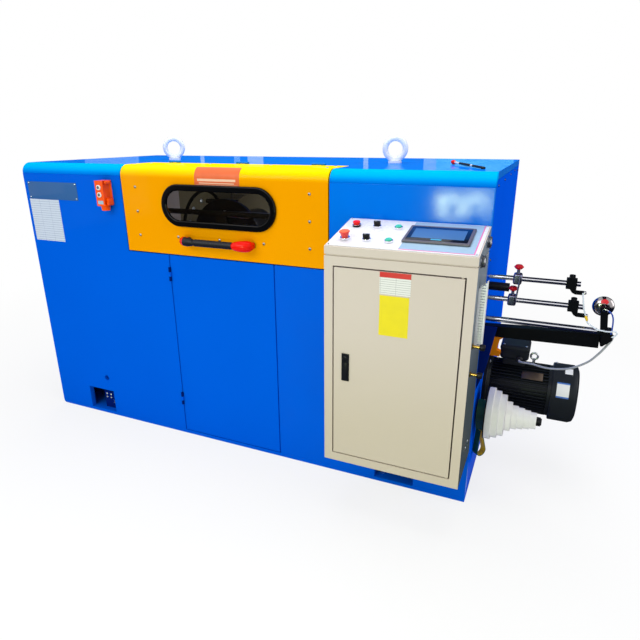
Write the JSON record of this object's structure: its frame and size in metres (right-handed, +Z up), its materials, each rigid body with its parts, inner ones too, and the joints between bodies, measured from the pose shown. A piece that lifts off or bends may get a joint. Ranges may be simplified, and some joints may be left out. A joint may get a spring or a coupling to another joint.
{
  "type": "bunching machine",
  "caption": "Long closed wire bunching machine with lifting window hood, front service door, hung control cabinet with sloped desk, flanged motor, stepped tower wheel and wire guide rods.",
  "frame": {"origin": "middle of the base plate's underside, on the floor", "axes": "+X along the housing towards the drive end, the operator's front faces -Y, +Z up"},
  "size_m": [2.746, 1.299, 1.468],
  "materials": {
    "blue_paint": "gloss",
    "navy_paint": "gloss",
    "yellow_paint": "gloss",
    "beige_paint": "satin",
    "white_plate": "gloss",
    "black_plastic": "matte",
    "rubber_black": "matte",
    "pane": "clear",
    "steel": "satin",
    "chrome": "polished",
    "olive_lining": "satin",
    "red_plastic": "gloss",
    "green_plastic": "gloss",
    "orange_plastic": "gloss",
    "white_nylon": "satin",
    "motor_paint": "satin",
    "orange_paint": "gloss",
    "grey_plastic": "satin",
    "belt_green": "matte",
    "grey_cord": "satin",
    "white_cord": "satin",
    "blue_cord": "satin"
  },
  "bodies": {
    "machine": {"base_plate": "blue_paint", "left_end_wall": "blue_paint", "back_wall": "blue_paint", "front_panel_left": "blue_paint", "front_panel_right": "blue_paint", "top_cover_left": "blue_paint", "top_cover_right": "blue_paint", "top_cover_rear": "blue_paint", "hinge_barrels": "blue_paint", "right_end_wall": "navy_paint", "beam_gusset": "navy_paint", "chamber_walls": "olive_lining", "cradle": "steel", "bobbin": "black_plastic", "eye_bolts": "steel", "levelling_bolts": "steel", "cabinet_shell": "beige_paint", "desk": "beige_paint", "desk_plate": "white_plate", "touch_panel": "black_plastic", "control_bezels": "chrome", "wiring_duct": "grey_plastic", "side_plugs": "steel", "pendant_station": "orange_plastic", "guide_rods": "chrome", "rod_clamps": "black_plastic", "eyelet_arms": "black_plastic", "inlet_tube": "black_plastic", "support_beam": "motor_paint", "wheel_arm": "black_plastic", "motor_body": "motor_paint", "motor_cowl": "motor_paint", "terminal_box": "motor_paint", "orange_bracket": "orange_paint", "flat_belt": "belt_green", "motor_cable": "grey_cord", "contact_lead": "white_cord", "wheel_lead": "blue_cord"},
    "hood": {"hood_shell": "yellow_paint", "window_seal": "rubber_black", "window_pane": "pane", "hood_handle": "black_plastic"},
    "door": {"front_door": "blue_paint"},
    "cabinet_leaf": {"cabinet_door": "beige_paint", "cabinet_lock": "black_plastic"},
    "tower": {"stepped_cone": "white_nylon", "belt_drum": "steel"},
    "wheel": {"meter_wheel": "chrome"},
    "stop": {"stop_button": "red_plastic"},
    "start": {"start_button": "green_plastic"},
    "jog": {"jog_button": "green_plastic"},
    "emergency": {"emergency_button": "red_plastic"},
    "selector_a": {"selector_left": "black_plastic"},
    "selector_b": {"selector_right": "black_plastic"},
    "pendant_up": {"pendant_button_upper": "white_nylon"},
    "pendant_down": {"pendant_button_lower": "white_nylon"}
  },
  "joints": [
    {"name": "hood_lift", "type": "hinge", "parent": "machine", "child": "hood", "pos_m": [0.008, -0.2865, 1.353], "axis": [-1, 0, 0], "range_deg": [0, 80]},
    {"name": "door_swing", "type": "hinge", "parent": "machine", "child": "door", "pos_m": [-0.2765, -0.521, 0.5], "axis": [0, 0, -1], "range_deg": [0, 110]},
    {"name": "cabinet_door_swing", "type": "hinge", "parent": "machine", "child": "cabinet_leaf", "pos_m": [1.1035, -0.7725, 0.66], "axis": [0, 0, 1], "range_deg": [0, 105]},
    {"name": "tower_spin", "type": "hinge", "parent": "machine", "child": "tower", "pos_m": [1.2, -0.395, 0.379], "axis": [1, 0, 0], "continuous": true},
    {"name": "wheel_spin", "type": "hinge", "parent": "machine", "child": "wheel", "pos_m": [1.543, -0.453, 0.9], "axis": [0, 1, 0], "continuous": true},
    {"name": "stop_press", "type": "slide", "parent": "machine", "child": "stop", "axis": [0, 0.2138, -0.9769], "range_m": [0, 0.004], "stiffness_N_per_m": 500, "springref_m": -0.003},
    {"name": "start_press", "type": "slide", "parent": "machine", "child": "start", "axis": [0, 0.2138, -0.9769], "range_m": [0, 0.004], "stiffness_N_per_m": 500, "springref_m": -0.003},
    {"name": "jog_press", "type": "slide", "parent": "machine", "child": "jog", "axis": [0, 0.2138, -0.9769], "range_m": [0, 0.004], "stiffness_N_per_m": 500, "springref_m": -0.003},
    {"name": "emergency_press", "type": "slide", "parent": "machine", "child": "emergency", "axis": [0, 0.2138, -0.9769], "range_m": [0, 0.004]},
    {"name": "selector_left_turn", "type": "hinge", "parent": "machine", "child": "selector_a", "pos_m": [0.757, -0.59601, 1.15134], "axis": [0, -0.2138, 0.9769], "range_deg": [0, 90]},
    {"name": "selector_right_turn", "type": "hinge", "parent": "machine", "child": "selector_b", "pos_m": [0.757, -0.71812, 1.12461], "axis": [0, -0.2138, 0.9769], "range_deg": [0, 90]},
    {"name": "pendant_upper_press", "type": "slide", "parent": "machine", "child": "pendant_up", "axis": [0, 1, 0], "range_m": [0, 0.003], "stiffness_N_per_m": 400, "springref_m": -0.002},
    {"name": "pendant_lower_press", "type": "slide", "parent": "machine", "child": "pendant_down", "axis": [0, 1, 0], "range_m": [0, 0.003], "stiffness_N_per_m": 400, "springref_m": -0.002}
  ]
}
